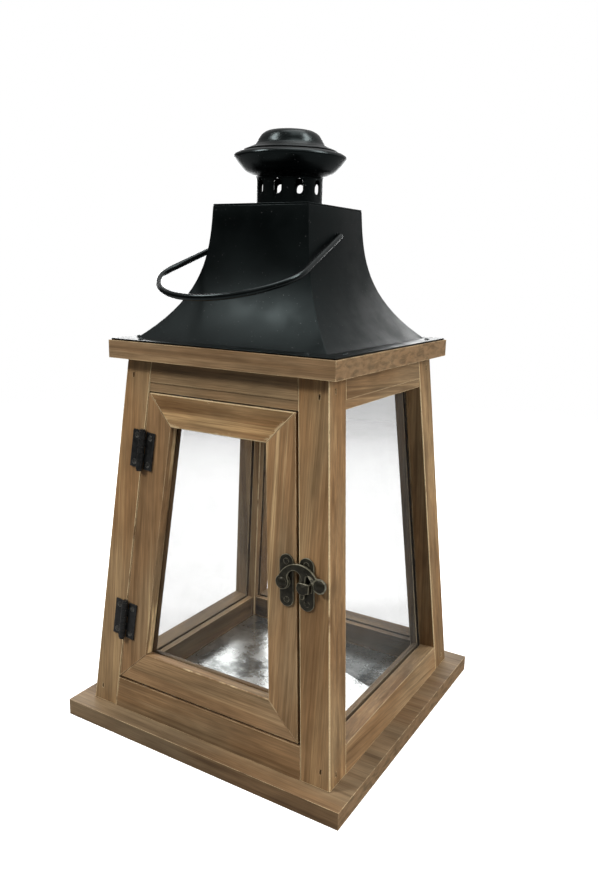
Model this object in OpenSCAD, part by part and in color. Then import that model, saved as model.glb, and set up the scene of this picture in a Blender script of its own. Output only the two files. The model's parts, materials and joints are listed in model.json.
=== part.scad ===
/* [Boards] */
// Side of the square base board
base_side = 190; // [188:1:200]
// Thickness of the base board
base_t = 10; // [8:1:14]
// Side of the square top board
top_side = 146.6; // [146:0.2:152]
// Thickness of the top board
top_t = 10; // [9:1:14]
// Diameter of the vent hole in the top board
vent_d = 60; // [40:2:80]

/* [Body] */
// Half width of the body where it stands on the base board
body_foot = 84; // [82:0.5:86]
// Half width of the body under the top board
body_head = 65.8; // [64:0.2:68]
// Height of the body between the two boards
body_h = 213; // [205:1:225]
// Width and depth of a corner post
post_w = 18; // [17:0.5:19]
// Thickness of a rail between two posts
rail_t = 16; // [15:0.5:16.5]
// Height of the apron under the door
apron_h = 18.8; // [17:0.2:21]
// Height of a bottom rail under a fixed window
sill_h = 16.9; // [15:0.1:19]
// Height of a top rail over a window
lintel_h = 17.8; // [16:0.2:20]
// Height of the lower strip of a top rail, which is set back
strip_h = 5.2; // [3:0.2:8]

/* [Glass] */
// Thickness of a pane
glass_t = 2; // [1.8:0.1:2.4]
// Depth of a fixed pane behind the outer face
glass_set = 10.3; // [8:0.1:11]
// How far a pane reaches into its groove
glass_bite = 4; // [3:0.5:5]

/* [Door] */
// Thickness of the door frame
door_t = 11; // [10:0.5:12]
// Width of a door stile and of the door's top rail
stile_w = 18; // [16:0.5:20]
// Height of the door's bottom rail
foot_rail_w = 19; // [17:0.5:21]
// Depth of the door's glass behind its front
door_glass_set = 6; // [5:0.5:7]
// Gap at the latch side
latch_gap = 1.5; // [1.2:0.1:2]
// Gap at the hinge side
hinge_gap = 0.4; // [0.3:0.1:0.6]
// Gap above the door
head_gap = 0.8; // [0.6:0.1:1.2]
// Gap below the door, which the leaning hinge axis needs as the door swings
foot_gap = 1.2; // [1.2:0.1:1.6]

/* [Hinges and latch] */
// Heights of the two hinges above the base board
hinge_heights = [57.3, 161.2]; // [40:0.1:175]
// Length of a hinge leaf
leaf_l = 22; // [20:1:25]
// Width of one hinge leaf from the barrel's axis
leaf_w = 8; // [7.5:0.5:9]
// Radius of a hinge barrel
barrel_r = 1.9; // [1.8:0.05:2.2]
// Height of the latch's pivot above the base board
latch_h = 106.7; // [95:0.1:125]
// Length of a latch plate
latch_plate_l = 28; // [26:0.5:31]

/* [Roof] */
// Half width of the roof's flat top
roof_head = 31.2; // [30.6:0.2:31.6]
// Half width of the roof where the flare meets the flange
roof_foot = 63.6; // [60:0.2:66]
// Half width of the flange
flange_half = 72.2; // [70:0.2:73]
// Height of the roof above the top board
roof_h = 76.2; // [72:0.2:80]
// Thickness of the sheet
sheet_t = 1; // [0.8:0.1:1.2]
// Radius of the chimney collar
collar_r = 19.7; // [18.5:0.1:21]
// Number of vent slots in the collar
vent_count = 10; // [6:1:12]

/* [Bail] */
// Radius of the wire
wire_r = 1.7; // [1.5:0.05:1.8]
// Depth of the bail's pivot below the roof's top
pivot_drop = 16.1; // [12:0.1:18]
// Angle of the stored bail from upright
bail_rest = 110.4; // [100:0.2:120]

/* [Hidden] */
$fn = 64;

WOOD = "#8a6a48";
WOOD_DARK = "#7a5c3e";
BLACK = "#1b1d1e";
BRONZE = "#5b5340";
HINGE_BLACK = "#2b2d2c";
STEEL = "#9aa0a2";
CLEAR = [0.85, 0.92, 0.92, 0.35];

// Turns of the four faces about the upright axis
FRONT = 0;
RIGHT = 90;
BACK = 180;
LEFT = 270;

// The faces lean inwards by this angle, and the seams tilt by seam_tilt within a face
lean = atan((body_foot - body_head) / body_h);
seam_tilt = atan(sin(lean));
reach = 2 * base_side;
body_top = base_t + body_h;
board_top = body_top + top_t;
roof_top = board_top + roof_h;

// Heights along a face, measured up its slope
apron_v = apron_h / cos(lean);
sill_v = sill_h / cos(lean);
head_v = (body_h - lintel_h) / cos(lean);
face_v = body_h / cos(lean);
door_foot_v = apron_v + foot_gap;
door_head_v = head_v - head_gap;

// Small clearances and fastener sizes
groove_play = 0.3;
strip_setback = 0.6;
brad_r = 0.6;
brad_l = 28;
brad_sink = 1.2;
brad_slot = [1.1, 2.8];
screw_r = 0.9;
screw_head_r = 1.7;
screw_head_h = 0.45;
running = 0.06;

// Half width of a face at slope height v, and at height h above the base board
function face_half(v) = body_foot - v * sin(lean);
function half_at(h) = body_foot - h * tan(lean);

// Points along an arc about c
function arc(c, r, a0, a1, n = 16) =
    [for (i = [0:n]) c + r * [cos(a0 + (a1 - a0) * i / n), sin(a0 + (a1 - a0) * i / n)]];

// Places its children on a face: X along it, Y up its slope, Z straight out of it
module on_face(turn) {
    rotate([0, 0, turn])
        translate([0, -body_foot, base_t])
            rotate([90 - lean, 0, 0])
                children();
}

// A solid as wide as the body less an inset on both sides, and endless from front to back
module body_prism(turn, inset) {
    foot = body_foot - inset;
    head = body_head - inset;
    rotate([0, 0, turn])
        translate([0, reach / 2, base_t])
            rotate([90, 0, 0])
                linear_extrude(reach)
                    polygon([[-foot, 0], [foot, 0], [head, body_h], [-head, body_h]]);
}

// A slab of a face from slope height v0 to v1 and from depth z1 out to z0
module face_slab(turn, v0, v1, z0, z1) {
    on_face(turn)
        translate([-reach / 2, v0, z0])
            cube([reach, v1 - v0, z1 - z0]);
}

// ---- Boards ----

module base_board() {
    color(WOOD)
        difference() {
            translate([-base_side / 2, -base_side / 2, 0])
                cube([base_side, base_side, base_t]);
            base_screw_places() base_screw(running);
            floor_screw_places() floor_screw(0);
        }
}

module top_board() {
    color(WOOD)
        difference() {
            translate([-top_side / 2, -top_side / 2, body_top])
                cube([top_side, top_side, top_t]);
            translate([0, 0, body_top - 1])
                cylinder(d = vent_d, h = top_t + 2);
            top_screw_places() top_screw(running);
            roof_nail_places() roof_nail(0);
        }
}

// ---- Fasteners of the boards ----

base_screw_l = 25;
base_screw_r = 1.6;
base_screw_head_r = 3.4;

// Set in far enough from the corner to pass inside the brads
base_screw_in = 11;

module base_screw_places() {
    from_middle = body_foot - base_screw_in;
    for (turn = [FRONT, RIGHT, BACK, LEFT])
        rotate([0, 0, turn])
            translate([from_middle, -from_middle, 0])
                children();
}

module base_screw(play) {
    translate([0, 0, 0.4])
        cylinder(r1 = base_screw_head_r + play, r2 = base_screw_r + play, h = 2.4);
    translate([0, 0, 0.4 - (play > 0 ? 1 : 0)])
        cylinder(r = base_screw_r + play, h = base_screw_l + (play > 0 ? 1 : 0));
    if (play > 0)
        translate([0, 0, -1])
            cylinder(r = base_screw_head_r + play, h = 1.41);
}

module base_screws() {
    color(STEEL)
        base_screw_places() base_screw(0);
}

module top_screw_places() {
    post_middle = body_head - post_w / 2;
    for (turn = [FRONT, RIGHT, BACK, LEFT])
        rotate([0, 0, turn])
            translate([post_middle, -post_middle, board_top])
                children();
}

module top_screw(play) {
    head_sink = 0.5;
    translate([0, 0, -head_sink - 2.4])
        cylinder(r1 = base_screw_r + play, r2 = base_screw_head_r + play, h = 2.4);
    translate([0, 0, -head_sink - base_screw_l])
        cylinder(r = base_screw_r + play, h = base_screw_l - 0.1);
    if (play > 0)
        translate([0, 0, -head_sink - 0.01])
            cylinder(r = base_screw_head_r + play, h = 2);
}

module top_board_screws() {
    color(STEEL)
        top_screw_places() top_screw(0);
}

// ---- Floor ----

floor_t = 0.8;
floor_half = body_foot - post_w - 0.4;
floor_screw_spots = [[-42.3, -22.8], [60.2, 17.8]];

module floor_plate() {
    color(STEEL)
        difference() {
            translate([-floor_half, -floor_half, base_t])
                cube([2 * floor_half, 2 * floor_half, floor_t]);
            floor_screw_places() floor_screw(0);
        }
}

module floor_screw_places() {
    for (spot = floor_screw_spots)
        translate([spot[0], spot[1], base_t + floor_t])
            children();
}

// A round head over a shank that starts at the floor's surface
module floor_screw(play) {
    translate([0, 0, -7])
        cylinder(r = 1.2 + play, h = 7);
}

module floor_screws() {
    head_r = 3;
    ball_r = 3.8;
    color(STEEL)
        floor_screw_places() {
            floor_screw(0);
            intersection() {
                cylinder(r = head_r, h = 3);
                translate([0, 0, 1.5 - ball_r])
                    sphere(r = ball_r);
            }
        }
}

// ---- Brads that nail each post to the ends of the rails ----

// Heights and the distance from the corner, for the front and back faces and for the side faces
function brad_heights(turn) = turn % 180 == 0 ? [9.5, 203.5] : [6.3, 206];
function brad_inset(turn) = turn % 180 == 0 ? 5.6 : 6.8;

module brad_places(turn) {
    for (h = brad_heights(turn), side = [-1, 1])
        on_face(turn)
            translate([side * (half_at(h) - brad_inset(turn)), h / cos(lean), 0])
                children();
}

module brad() {
    translate([0, 0, -brad_l])
        cylinder(r = brad_r, h = brad_l - brad_sink, $fn = 24);
}

// The hole of one brad, with the upright slot that its head leaves in the face
module brad_pocket() {
    translate([0, 0, -brad_l])
        cylinder(r = brad_r, h = brad_l, $fn = 24);
    translate([-brad_slot[0] / 2, -brad_slot[1] / 2, -brad_sink])
        cube([brad_slot[0], brad_slot[1], brad_sink + 1]);
}

module frame_brads() {
    color(STEEL)
        for (turn = [FRONT, RIGHT, BACK, LEFT])
            brad_places(turn) brad();
}

// ---- Panes in their grooves ----

module pane(turn, play) {
    intersection() {
        face_slab(turn, sill_v - glass_bite - play, head_v + glass_bite + play,
            -glass_set - glass_t - play, -glass_set);
        body_prism(turn, post_w - glass_bite + groove_play - play);
    }
}

module fixed_glass(turn) {
    color(CLEAR) pane(turn, 0);
}

module right_glass() fixed_glass(RIGHT);
module back_glass() fixed_glass(BACK);
module left_glass() fixed_glass(LEFT);

// ---- Posts ----

// A leaning strip on the right side, one post wide, endless from front to back
module post_band() {
    translate([0, reach / 2, base_t])
        rotate([90, 0, 0])
            linear_extrude(reach)
                polygon([[body_foot - post_w, 0], [body_foot, 0],
                    [body_head, body_h], [body_head - post_w, body_h]]);
}

// The post at the corner that lies turn degrees round from the front right one
module post(turn) {
    difference() {
        rotate([0, 0, turn])
            intersection() {
                post_band();
                rotate([0, 0, -90]) post_band();
            }
        for (side = [RIGHT, BACK, LEFT])
            if (side == turn || side == (turn + 90) % 360)
                pane(side, groove_play);
        brad_places(turn) brad_pocket();
        brad_places((turn + 90) % 360) brad_pocket();
        base_screw_places() base_screw(running);
        top_screw_places() top_screw(running);
    }
}

module post_front_right() {
    color(WOOD)
        difference() {
            post(0);
            keeper_screw_places() wood_screw_shank();
        }
}

module post_back_right() {
    color(WOOD) post(90);
}

module post_back_left() {
    color(WOOD) post(180);
}

module post_front_left() {
    color(WOOD)
        difference() {
            post(270);
            hinge_screw_places(-1) wood_screw_shank();
        }
}

// ---- Rails ----

module rail(turn, v0, v1) {
    difference() {
        intersection() {
            face_slab(turn, v0, v1, -rail_t, 0);
            body_prism(turn, post_w);
        }
        if (turn != FRONT)
            pane(turn, groove_play);
        brad_places((turn + 90) % 360) brad_pocket();
        brad_places((turn + 270) % 360) brad_pocket();
    }
}

module bottom_rail(turn) {
    below = base_t;
    color(WOOD)
        rail(turn, -below, turn == FRONT ? apron_v : sill_v);
}

// The lower strip of a top rail is set back from the face
module top_rail(turn) {
    color(WOOD)
        difference() {
            rail(turn, head_v, face_v + top_t);
            face_slab(turn, head_v - 1, head_v + strip_h, -strip_setback, 1);
        }
}

module front_bottom_rail() bottom_rail(FRONT);
module front_top_rail() top_rail(FRONT);
module right_bottom_rail() bottom_rail(RIGHT);
module right_top_rail() top_rail(RIGHT);
module back_bottom_rail() bottom_rail(BACK);
module back_top_rail() top_rail(BACK);
module left_bottom_rail() bottom_rail(LEFT);
module left_top_rail() top_rail(LEFT);

// A batten on the latch-side post that the closed door rests against
module door_stop() {
    batten = 5;
    play = 0.4;
    color(WOOD_DARK)
        difference() {
            intersection() {
                face_slab(FRONT, apron_v + 6, head_v - 6, -door_t - play - batten, -door_t - play);
                body_prism(FRONT, post_w);
            }
            body_prism(FRONT, post_w + batten);
            translate([-reach, -reach / 2, 0])
                cube([reach, reach, reach]);
        }
}

// ---- Door ----

// Corners of the door's outline, taken in by a side inset and a rail inset
function door_corners(side, foot, head) =
    let (v0 = door_foot_v + foot, v1 = door_head_v - head)
    let (w0 = face_half(v0) - post_w, w1 = face_half(v1) - post_w)
    [[-w0 + hinge_gap + side, v0], [w0 - latch_gap - side, v0],
     [w1 - latch_gap - side, v1], [-w1 + hinge_gap + side, v1]];

door_outer = door_corners(0, 0, 0);
door_inner = door_corners(stile_w, foot_rail_w, stile_w);
rebate = 4;

function inner_grown(by) = door_corners(stile_w - by, foot_rail_w - by, stile_w - by);

// One mitred member of a four-sided frame: i is 0 bottom, 1 right, 2 top, 3 left
module mitred_member(outer, inner, i, z0, z1) {
    j = (i + 1) % 4;
    on_face(FRONT)
        translate([0, 0, z0])
            linear_extrude(z1 - z0)
                polygon([outer[i], outer[j], inner[j], inner[i]]);
}

module door_member(i) {
    difference() {
        mitred_member(door_outer, door_inner, i, -door_t, 0);
        on_face(FRONT)
            translate([0, 0, -door_t - 1])
                linear_extrude(door_t + 1 - door_glass_set)
                    polygon(inner_grown(rebate));
    }
}

module door_bottom_rail() {
    color(WOOD) door_member(0);
}

module door_right_stile() {
    color(WOOD)
        difference() {
            door_member(1);
            latch_plate_screw_places() wood_screw_shank();
            latch_pivot_place()
                translate([0, 0, -rivet_tail - 0.1])
                    cylinder(r = rivet_r + running, h = rivet_tail + 1);
        }
}

module door_top_rail() {
    color(WOOD) door_member(2);
}

module door_left_stile() {
    color(WOOD)
        difference() {
            door_member(3);
            hinge_screw_places(1) wood_screw_shank();
        }
}

module door_glass() {
    color(CLEAR)
        on_face(FRONT)
            translate([0, 0, -door_glass_set - glass_t])
                linear_extrude(glass_t)
                    polygon(inner_grown(rebate - groove_play));
}

// A thin strip that holds the pane in the door's rebate
module door_bead(i) {
    color(WOOD_DARK)
        mitred_member(inner_grown(rebate), inner_grown(0.5), i, -door_t, -door_glass_set - glass_t);
}

module door_bottom_bead() door_bead(0);
module door_right_bead() door_bead(1);
module door_top_bead() door_bead(2);
module door_left_bead() door_bead(3);

// ---- Hinges ----

knuckles = 5;
knuckle_play = 0.15;
leaf_t = 0.8;
pin_r = 1;
pin_cap_h = 1.2;
hinge_screw_off = 4.9;
hinge_screw_pitch = 15.7;

// Places its children on a hinge's axis at height h: Y runs along the seam
module on_hinge(h) {
    v = h / cos(lean);
    on_face(FRONT)
        translate([-(face_half(v) - post_w) + hinge_gap / 2, v, barrel_r])
            rotate([0, 0, -seam_tilt])
                children();
}

module along_axis(y0, y1) {
    translate([0, y1, 0])
        rotate([90, 0, 0])
            linear_extrude(y1 - y0)
                children();
}

module hinge_screw_places(side) {
    for (h = hinge_heights, end = [-1, 1])
        on_hinge(h)
            translate([side * hinge_screw_off, end * hinge_screw_pitch / 2, leaf_t - barrel_r])
                children();
}

// One leaf with its knuckles: side -1 is the post's leaf, side 1 the door's
module hinge_leaf(h, side) {
    step = leaf_l / knuckles;
    own = side < 0 ? 0 : 1;
    color(HINGE_BLACK)
        difference() {
            on_hinge(h) {
                difference() {
                    translate([side < 0 ? -leaf_w : 0, -leaf_l / 2, -barrel_r])
                        cube([leaf_w, leaf_l, leaf_t]);
                    for (k = [1 - own:2:knuckles - 1])
                        translate([-barrel_r - 0.3, -leaf_l / 2 + k * step - knuckle_play, -barrel_r - 1])
                            cube([2 * barrel_r + 0.6, step + 2 * knuckle_play, barrel_r + 1]);
                }
                for (k = [own:2:knuckles - 1])
                    along_axis(-leaf_l / 2 + k * step + (k == 0 ? 0 : knuckle_play),
                        -leaf_l / 2 + (k + 1) * step - (k == knuckles - 1 ? 0 : knuckle_play))
                        circle(r = barrel_r);
            }
            on_hinge(h)
                along_axis(-leaf_l, leaf_l)
                    circle(r = side < 0 ? pin_r : pin_r + running);
            hinge_screw_places(side) wood_screw_shank();
        }
}

module hinge_pin(h) {
    color(HINGE_BLACK)
        on_hinge(h) {
            along_axis(-leaf_l / 2 - pin_cap_h, leaf_l / 2 + pin_cap_h)
                circle(r = pin_r);
            for (end = [-1, 1])
                along_axis(end * (leaf_l / 2 + pin_cap_h / 2) - pin_cap_h / 2,
                    end * (leaf_l / 2 + pin_cap_h / 2) + pin_cap_h / 2)
                    circle(r = 1.5);
        }
}

module lower_hinge_frame_leaf() hinge_leaf(hinge_heights[0], -1);
module lower_hinge_door_leaf() hinge_leaf(hinge_heights[0], 1);
module lower_hinge_pin() hinge_pin(hinge_heights[0]);
module upper_hinge_frame_leaf() hinge_leaf(hinge_heights[1], -1);
module upper_hinge_door_leaf() hinge_leaf(hinge_heights[1], 1);
module upper_hinge_pin() hinge_pin(hinge_heights[1]);

module hinge_frame_screws() {
    color(STEEL) hinge_screw_places(-1) wood_screw();
}

module hinge_door_screws() {
    color(STEEL) hinge_screw_places(1) wood_screw();
}

// ---- Small wood screws: a low domed head on the plate's surface, the shank below it ----

wood_screw_l = 8;

module wood_screw_shank() {
    translate([0, 0, -wood_screw_l])
        cylinder(r = screw_r, h = wood_screw_l + 0.01, $fn = 32);
}

module wood_screw() {
    ball_r = 3.6;
    slot_w = 0.65;
    translate([0, 0, -wood_screw_l])
        cylinder(r = screw_r, h = wood_screw_l + 0.1, $fn = 32);
    difference() {
        intersection() {
            cylinder(r = screw_head_r, h = 1);
            translate([0, 0, screw_head_h - ball_r])
                sphere(r = ball_r);
        }
        for (turn = [0, 90])
            rotate([0, 0, turn])
                translate([-1.1, -slot_w / 2, 0.15])
                    cube([2.2, slot_w, 1]);
    }
}

// ---- Latch ----

// Places, about the arm's pivot: X along the face, Y up its slope
plate_t = 1;
latch_plate_w = 8.4;
keeper_plate_w = 8.8;
latch_plate_c = [1.5, 0.6];
keeper_plate_c = [13.6, 0.8];
latch_screw_pitch = 20.4;
latch_edge_in = 7.1;
washer_t = 0.65;
arm_z = plate_t + washer_t + 0.05;
arm_t = 1.5;
rivet_r = 1.2;
rivet_head_r = 2.8;
rivet_tail = 6;

// Outline of the arm: a root disc, an arch over a hollow, a tooth, a notch and a thumb knob
root_r = 4;
arch_c = [9.6, -1.6];
arch_r = 12.85;
hollow_c = [7.1, 3.2];
hollow_r = 4.05;
tooth_c = [12.5, -5.5];
tooth_r = 1.4;
notch_c = [15.9, 3.6];
notch_r = 2.6;
knob_c = [22.2, 2.5];
knob_r = 3.6;

// Keeper: a disc with a flat top that covers the tooth, on a folded wall beside it
disc_c = [13.1, -0.3];
disc_r = 3.6;
disc_flat = 2.6;
disc_z = arm_z + arm_t + 0.45;
disc_t = 0.9;
wall_x = [15.6, 16.9];
wall_half = 2.4;

module latch_pivot_place() {
    v = latch_h / cos(lean);
    on_face(FRONT)
        translate([face_half(v) - post_w - latch_gap - latch_edge_in, v, 0])
            children();
}

module stadium(c, w, l) {
    straight = (l - w) / 2;
    translate(c)
        rotate([0, 0, seam_tilt]) {
            translate([-w / 2, -straight]) square([w, 2 * straight]);
            for (end = [-1, 1])
                translate([0, end * straight]) circle(d = w);
        }
}

module plate_screw_places(c) {
    latch_pivot_place()
        translate([c[0], c[1], plate_t])
            rotate([0, 0, seam_tilt])
                for (end = [-1, 1])
                    translate([0, end * latch_screw_pitch / 2, 0])
                        rotate([0, 0, 30 * end])
                            children();
}

module latch_plate_screw_places() plate_screw_places(latch_plate_c) children();
module keeper_screw_places() plate_screw_places(keeper_plate_c) children();

module latch_plate() {
    color(BRONZE)
        difference() {
            latch_pivot_place()
                linear_extrude(plate_t)
                    difference() {
                        stadium(latch_plate_c, latch_plate_w, latch_plate_l);
                        circle(r = rivet_r);
                    }
            latch_plate_screw_places() wood_screw_shank();
        }
}

module latch_washer() {
    color(BRONZE)
        latch_pivot_place()
            translate([0, 0, plate_t])
                linear_extrude(washer_t)
                    difference() {
                        circle(r = root_r + 0.2);
                        circle(r = rivet_r);
                    }
}

module latch_rivet() {
    head_z = arm_z + arm_t + 0.1;
    head_h = 1.5;
    ball_r = 3.4;
    color(BRONZE)
        latch_pivot_place() {
            translate([0, 0, -rivet_tail])
                cylinder(r = rivet_r, h = head_z + rivet_tail + 0.2);
            intersection() {
                translate([0, 0, head_z])
                    cylinder(r = rivet_head_r, h = head_h + 0.1);
                translate([0, 0, head_z + head_h - ball_r])
                    sphere(r = ball_r);
            }
        }
}

// Where the arch's circle crosses the root disc, as angles about each centre
root_cross = (root_r * root_r + arch_c * arch_c - arch_r * arch_r) / 2 / norm(arch_c);
root_angle = atan2(arch_c[1], arch_c[0]) + acos(root_cross / root_r);
root_point = root_r * [cos(root_angle), sin(root_angle)];
arch_end = atan2(root_point[1] - arch_c[1], root_point[0] - arch_c[0]);

module arm_outline() {
    notch_start = acos((tooth_c[0] + tooth_r - notch_c[0]) / notch_r);
    polygon(concat(
        arc([0, 0], root_r, root_angle, 360 + 35, 24),
        arc(hollow_c, hollow_r, 184, -2, 20),
        arc(tooth_c, tooth_r, 180, 360, 12),
        arc(notch_c, notch_r, notch_start, -5, 12),
        arc(knob_c, knob_r, 215, 470, 24),
        arc(arch_c, arch_r, 34.7, arch_end, 24)));
}

module latch_arm() {
    knob_ball_r = 5;
    knob_dome_h = 1.5;
    color(BRONZE)
        latch_pivot_place()
            difference() {
                union() {
                    translate([0, 0, arm_z])
                        linear_extrude(arm_t)
                            arm_outline();
                    translate([knob_c[0], knob_c[1], arm_z + arm_t])
                        intersection() {
                            cylinder(r = knob_r, h = 2);
                            translate([0, 0, knob_dome_h - knob_ball_r])
                                sphere(r = knob_ball_r);
                        }
                }
                translate([0, 0, arm_z - 1])
                    cylinder(r = rivet_r + running, h = arm_t + 2);
            }
}

module keeper_plate() {
    color(BRONZE)
        difference() {
            latch_pivot_place() {
                linear_extrude(plate_t)
                    stadium(keeper_plate_c, keeper_plate_w, latch_plate_l);
                translate([wall_x[0], disc_c[1] - wall_half, 0])
                    cube([wall_x[1] - wall_x[0], 2 * wall_half, disc_z + disc_t]);
                translate([0, 0, disc_z])
                    linear_extrude(disc_t)
                        intersection() {
                            translate(disc_c) circle(r = disc_r);
                            translate([disc_c[0] - disc_r, disc_c[1] - disc_r])
                                square([2 * disc_r, disc_r + disc_flat]);
                        }
            }
            keeper_screw_places() wood_screw_shank();
        }
}

module latch_plate_screws() {
    color(STEEL) latch_plate_screw_places() wood_screw();
}

module keeper_screws() {
    color(STEEL) keeper_screw_places() wood_screw();
}

// ---- Roof ----

flare_steps = 18;
flare_power = 3.1;
flare_slope = 4;
pivot_z = roof_top - pivot_drop;

// Half width of the roof at height z: nearly upright at the top, flaring towards the flange
function roof_half(z) =
    let (t = (roof_top - z) / roof_h)
    roof_head + flare_slope * t + (roof_foot - roof_head - flare_slope) * pow(t, flare_power);

// The flared four-sided body, taken in by an inset
module roof_body(inset, z0, z1) {
    levels = [for (i = [0:flare_steps]) z0 + (z1 - z0) * i / flare_steps];
    outline = concat([for (z = levels) [roof_half(z) - inset, z]],
        [for (i = [flare_steps:-1:0]) [-(roof_half(levels[i]) - inset), levels[i]]]);
    intersection_for (turn = [0, 90])
        rotate([0, 0, turn])
            translate([0, reach / 2, 0])
                rotate([90, 0, 0])
                    linear_extrude(reach)
                        polygon(outline);
}

module roof_shell() {
    color(BLACK)
        difference() {
            union() {
                difference() {
                    roof_body(0, board_top, roof_top - sheet_t);
                    roof_body(sheet_t, board_top - 1, roof_top);
                }
                difference() {
                    translate([-flange_half, -flange_half, board_top])
                        cube([2 * flange_half, 2 * flange_half, sheet_t]);
                    roof_body(sheet_t, board_top - 1, roof_top);
                }
            }
            translate([-reach / 2, 0, pivot_z])
                rotate([0, 90, 0])
                    cylinder(r = wire_r + running, h = reach);
            roof_nail_places() roof_nail(0);
        }
}

roof_nail_out = 67.8;
roof_nail_along = 54;

module roof_nail_places() {
    for (turn = [FRONT, RIGHT, BACK, LEFT], side = [-1, 1])
        rotate([0, 0, turn])
            translate([side * roof_nail_along, -roof_nail_out, board_top])
                children();
}

module roof_nail(play) {
    shank = 0.8;
    translate([0, 0, -8])
        cylinder(r = shank + play, h = 8 + sheet_t, $fn = 24);
}

module roof_nails() {
    color(BLACK)
        roof_nail_places() {
            roof_nail(0);
            translate([0, 0, sheet_t])
                intersection() {
                    cylinder(r = 1.7, h = 2, $fn = 32);
                    translate([0, 0, -1.2])
                        sphere(r = 2.1);
                }
        }
}

module roof_top_plate() {
    rim = 1.2;
    color(BLACK)
        difference() {
            translate([0, 0, roof_top - sheet_t])
                linear_extrude(sheet_t)
                    square(2 * (roof_head - 0.1), center = true);
            for (turn = [FRONT, RIGHT, BACK, LEFT])
                rotate([0, 0, turn])
                    translate([-reach / 2, -roof_head - rim + 0.6, roof_top])
                        rotate([30, 0, 0])
                            translate([0, -2, -2])
                                cube([reach, 2, 4]);
            translate([0, 0, roof_top - 2])
                cylinder(r = collar_r - sheet_t, h = 3);
        }
}

// ---- Chimney ----

collar_h = 14.8;
collar_foot = 2;
vent_w = 4.5;
vent_tall = 8;
vent_first = -6.2;
vent_mid = 10;

module chimney_collar() {
    outline = [[collar_r - sheet_t, 0], [collar_r + collar_foot, 0], [collar_r + collar_foot, sheet_t],
        [collar_r, sheet_t], [collar_r, collar_h], [collar_r - sheet_t, collar_h]];
    color(BLACK)
        translate([0, 0, roof_top])
            difference() {
                rotate_extrude($fn = 96) polygon(outline);
                for (i = [0:vent_count - 1])
                    rotate([0, 0, vent_first + i * 360 / vent_count])
                        translate([collar_r - 3, 0, vent_mid])
                            vent_slot();
            }
}

module vent_slot() {
    straight = vent_tall - vent_w;
    rotate([0, 90, 0])
        linear_extrude(6) {
            translate([-straight / 2, -vent_w / 2]) square([straight, vent_w]);
            for (end = [-1, 1])
                translate([end * straight / 2, 0]) circle(d = vent_w);
        }
}

saucer_z = roof_top + collar_h;
saucer_h = 10.9;
flare_out = 13.1;
brim_r = collar_r + flare_out;
brim_z = saucer_z + saucer_h;
seat_h = 3.3;
skin = 0.8;

// A point given by its distance out from the brim and its height over the brim
function by_brim(p) = [brim_r + p[0], brim_z + p[1]];

// A flared dish whose edge rolls over to a flat seat for the dome
module chimney_saucer() {
    flare = [[-12.2, -10.2], [-10.5, -9.6], [-6.7, -7.8], [-3.7, -5], [-1.6, -2.4]];
    rolled = [[0, 0], [-0.1, 0.9], [-0.8, 1.8], [-2.4, 2.7], [-4.4, seat_h], [-6.8, seat_h]];
    rolled_inside = [[-6.8, seat_h - skin], [-4.6, seat_h - skin], [-2.9, 2], [-1.6, 1.2], [-1.1, 0.4]];
    flare_inside = [for (i = [len(flare) - 1:-1:0]) flare[i] + [-skin, skin]];
    foot = [[-flare_out - sheet_t, -saucer_h], [-flare_out, -saucer_h]];
    color(BLACK)
        rotate_extrude($fn = 96)
            polygon([for (p = concat(foot, flare, rolled, rolled_inside, flare_inside,
                [[-flare_out - sheet_t, -10.2]])) by_brim(p)]);
}

// A flange, two shoulders and a low dome with a flat top
module chimney_dome() {
    outside = [[-5.4, seat_h], [-5.4, seat_h + 1], [-8.6, 5.7], [-9.6, 5.9], [-11.2, 6.9], [-12.4, 7.2],
        [-13.8, 8.8], [-14.9, 11], [-16.6, 13.2], [-19, 14.7], [-21.2, 15.2], [-brim_r, 15.4]];
    inside = [for (i = [len(outside) - 1:-1:2])
        [max(-brim_r, outside[i][0] - 0.4), outside[i][1] - sheet_t]];
    color(BLACK)
        rotate_extrude($fn = 96)
            polygon([for (p = concat(outside, inside, [[-6.6, seat_h]])) by_brim(p)]);
}

// ---- Bail ----

// Shape of the bail in its own plane: X across, Y away from the pivots
bail_half = roof_head + 3.1;
leg_splay = 8.4;
leg_l = 56;
side_arc_r = 27;
bottom_arc_r = 45.2;
bend_r = 1.9;
pin_in = 5;
leg_dir = [sin(leg_splay), cos(leg_splay)];
leg_foot = [bail_half, 0];
leg_end = leg_foot + leg_l * leg_dir;
side_c = leg_end + side_arc_r * [-cos(leg_splay), sin(leg_splay)];
bend_cut = bend_r * tan((90 - leg_splay) / 2);
// The bottom arc is centred on the middle line and touches both side arcs
bottom_drop = sqrt(pow(bottom_arc_r - side_arc_r, 2) - pow(side_c[0], 2));
bottom_c = [0, side_c[1] - bottom_drop];
side_span = atan2(bottom_drop, side_c[0]);

// Bent lengths of the wire are this much slimmer, and run this far into the straight ones
slim = 0.02;
lap = 0.05;

// A piece of bent wire about c, from angle a0 over the given span
module wire_arc(c, r, a0, span, thin = slim) {
    extra = thin > 0 ? lap / r * 180 / PI : 0;
    translate([c[0], c[1], 0])
        rotate([0, 0, a0 - extra])
            rotate_extrude(angle = span + 2 * extra, $fn = 96)
                translate([r, 0]) circle(r = wire_r - thin, $fn = 32);
}

module wire_run(from, to) {
    way = to - from;
    translate([from[0], from[1], 0])
        rotate([0, 0, atan2(way[1], way[0])])
            rotate([0, 90, 0])
                cylinder(r = wire_r, h = norm(way), $fn = 32);
}

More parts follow.
